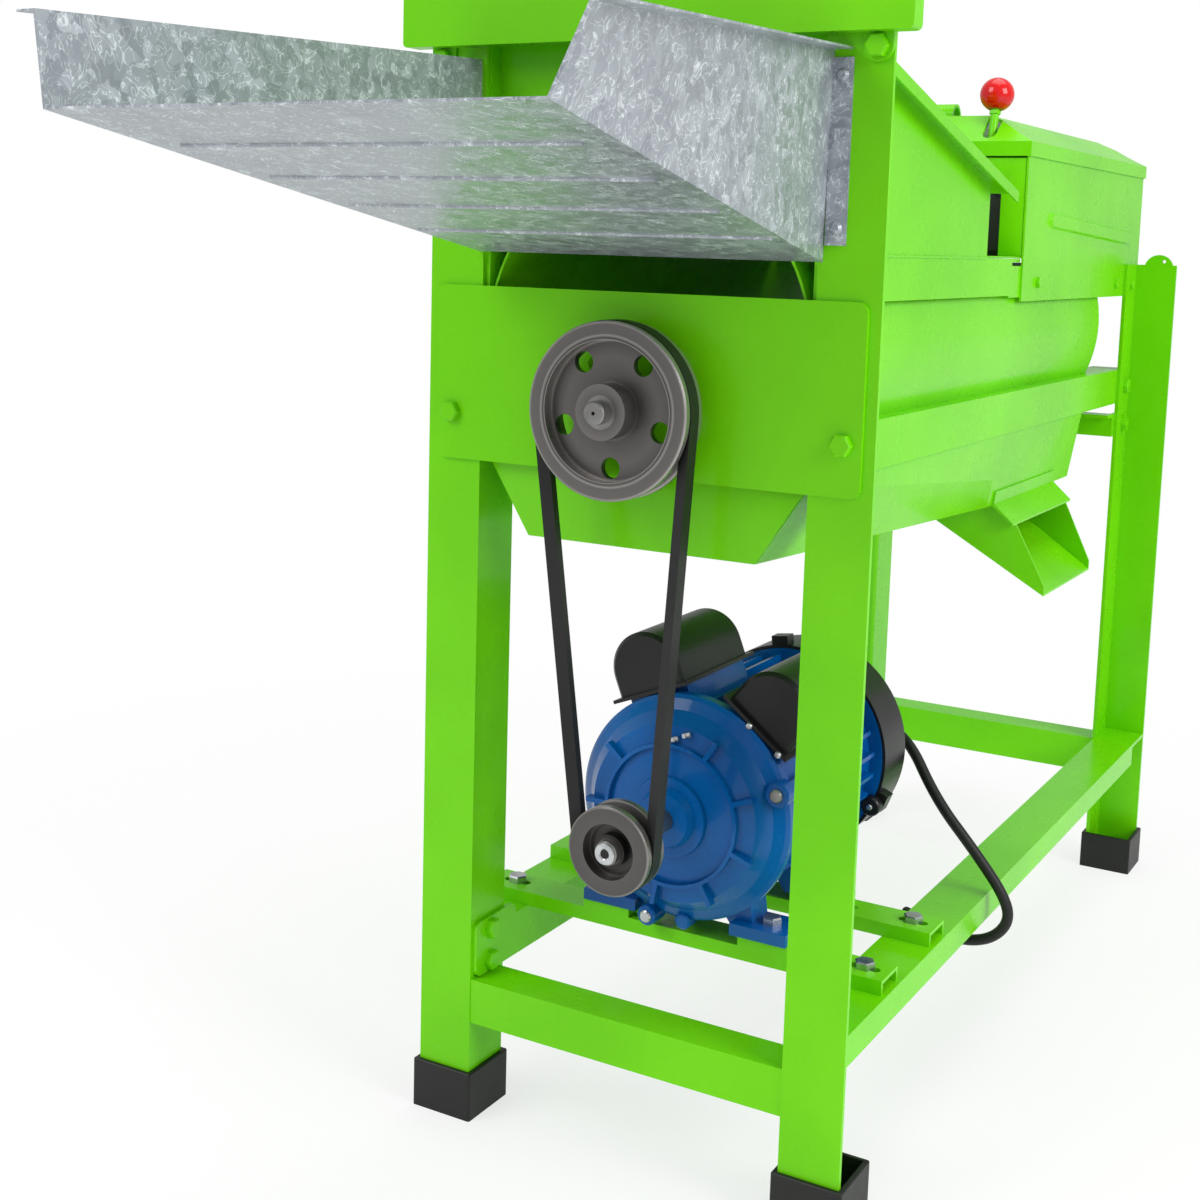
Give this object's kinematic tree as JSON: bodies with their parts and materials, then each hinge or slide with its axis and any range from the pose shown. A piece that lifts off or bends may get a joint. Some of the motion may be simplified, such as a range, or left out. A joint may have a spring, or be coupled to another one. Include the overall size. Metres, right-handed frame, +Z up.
{
  "type": "corn sheller",
  "caption": "Belt-driven corn sheller on an angle-iron stand: sloping feed tray, pegged drum over a slotted concave, hipped rear cover with cob gate, side grain chute, motor below.",
  "frame": {"origin": "on the floor, in the middle of the whole machine's plan", "axes": "+Z up, +Y towards the rear where the cobs leave, +X towards the grain chute's side"},
  "size_m": [0.4307, 1.402, 0.985],
  "materials": {
    "green_paint": "gloss",
    "motor_blue": "semi-gloss",
    "galvanised": "spangled zinc",
    "zinc_steel": "bright zinc",
    "plain_steel": "machined",
    "pulley_iron": "turned",
    "bearing_iron": "painted",
    "belt_rubber": "matte",
    "black_rubber": "matte",
    "black_plastic": "satin",
    "red_plastic": "gloss"
  },
  "bodies": {
    "frame": {"front_left_leg": "green_paint", "front_right_leg": "green_paint", "rear_left_leg": "green_paint", "rear_right_leg": "green_paint", "lower_front_crossbar": "green_paint", "lower_rear_crossbar": "green_paint", "lower_right_rail": "green_paint", "lower_left_rail": "green_paint", "mid_right_rail": "green_paint", "mid_left_rail": "green_paint", "upper_right_rail": "green_paint", "upper_left_rail": "green_paint", "cover_bars": "green_paint", "rear_cross_member": "green_paint", "front_plate": "green_paint", "feed_hood": "green_paint", "feed_baffle": "green_paint", "throat_right_wall": "green_paint", "throat_left_wall": "green_paint", "throat_roof": "green_paint", "housing_right_side": "green_paint", "housing_left_side": "green_paint", "grain_hopper": "green_paint", "grain_chute": "green_paint", "chute_collar": "green_paint", "housing_end_plate": "green_paint", "cover_right_wall": "green_paint", "cover_left_wall": "green_paint", "cover_roof": "green_paint", "cover_end_plate": "green_paint", "roof_lug": "green_paint", "motor_rails": "green_paint", "motor_spacers": "green_paint", "frame_bolts": "green_paint", "cover_bolts": "green_paint", "leg_boots": "black_rubber", "feed_tray": "galvanised", "tray_rivets": "galvanised", "concave": "plain_steel", "drum_bearings": "bearing_iron", "v_belt": "belt_rubber", "motor_front_shield": "motor_blue", "motor_body": "motor_blue", "motor_rear_shield": "motor_blue", "motor_fan_cover": "black_plastic", "capacitor_covers": "black_plastic", "motor_gland": "black_plastic", "motor_bolts": "zinc_steel", "motor_cord": "black_rubber", "cord_end_cap": "black_rubber"},
    "drum_rotor": {"drum_shaft": "plain_steel", "shelling_drum": "green_paint", "drum_paddles": "green_paint", "drum_pulley": "pulley_iron"},
    "motor_rotor": {"motor_shaft": "plain_steel", "motor_pulley": "pulley_iron", "motor_fan": "black_plastic"},
    "gate_lever": {"cob_gate": "green_paint", "gate_stud": "galvanised", "gate_knob": "red_plastic"}
  },
  "joints": [
    {"name": "drum_spin", "type": "hinge", "parent": "frame", "child": "drum_rotor", "pos_m": [0, 0, 0.618], "axis": [0, 1, 0], "continuous": true},
    {"name": "motor_spin", "type": "hinge", "parent": "frame", "child": "motor_rotor", "pos_m": [0.013, 0, 0.283], "axis": [0, 1, 0], "continuous": true},
    {"name": "gate_tilt", "type": "hinge", "parent": "frame", "child": "gate_lever", "pos_m": [0, 0.234, 0.838], "axis": [-1, 0, 0], "range_deg": [-20, 12]}
  ],
  "couplings": [
    {"joint": "motor_spin", "follows": "drum_spin", "ratio": 2.0323}
  ]
}
